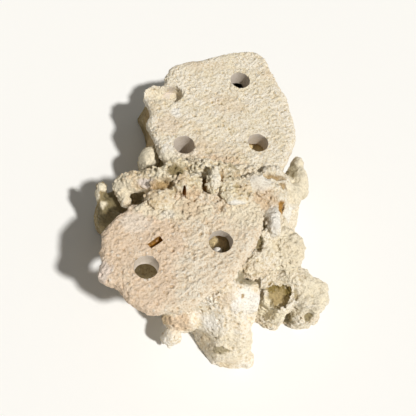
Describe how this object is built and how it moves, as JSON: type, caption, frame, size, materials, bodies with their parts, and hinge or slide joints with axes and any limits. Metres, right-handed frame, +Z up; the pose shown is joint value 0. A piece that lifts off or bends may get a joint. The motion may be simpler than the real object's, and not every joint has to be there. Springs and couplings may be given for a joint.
{
  "type": "aquarium reef rock",
  "caption": "Pieces of pale coral limestone bonded into one aquascape rock, with two flat ledges drilled with round holes for coral plugs.",
  "frame": {"origin": "middle of the rock's bounding box at its lowest plane, z = 0, on which it stands", "axes": "+Z up; +Y from the pointed foot at the front towards the back ledge; +X to the right as seen from the front"},
  "size_m": [0.1434, 0.2014, 0.0749],
  "materials": {
    "cream_limestone": "dry, pitted and chalky",
    "pink_limestone": "dry and chalky, stained pinkish tan",
    "broken_limestone": "freshly broken, white and granular",
    "crumb_limestone": "crumbly crust of coral grains",
    "brown_limestone": "weathered, brown and rough"
  },
  "bodies": {
    "root": {"back_ledge": "cream_limestone", "front_ledge": "pink_limestone", "pale_flake": "broken_limestone", "foot_rock": "broken_limestone", "corner_rock": "cream_limestone", "horn_rock": "cream_limestone", "ridge_rock": "crumb_limestone", "base_rock": "brown_limestone", "rear_rock": "brown_limestone"}
  },
  "joints": []
}
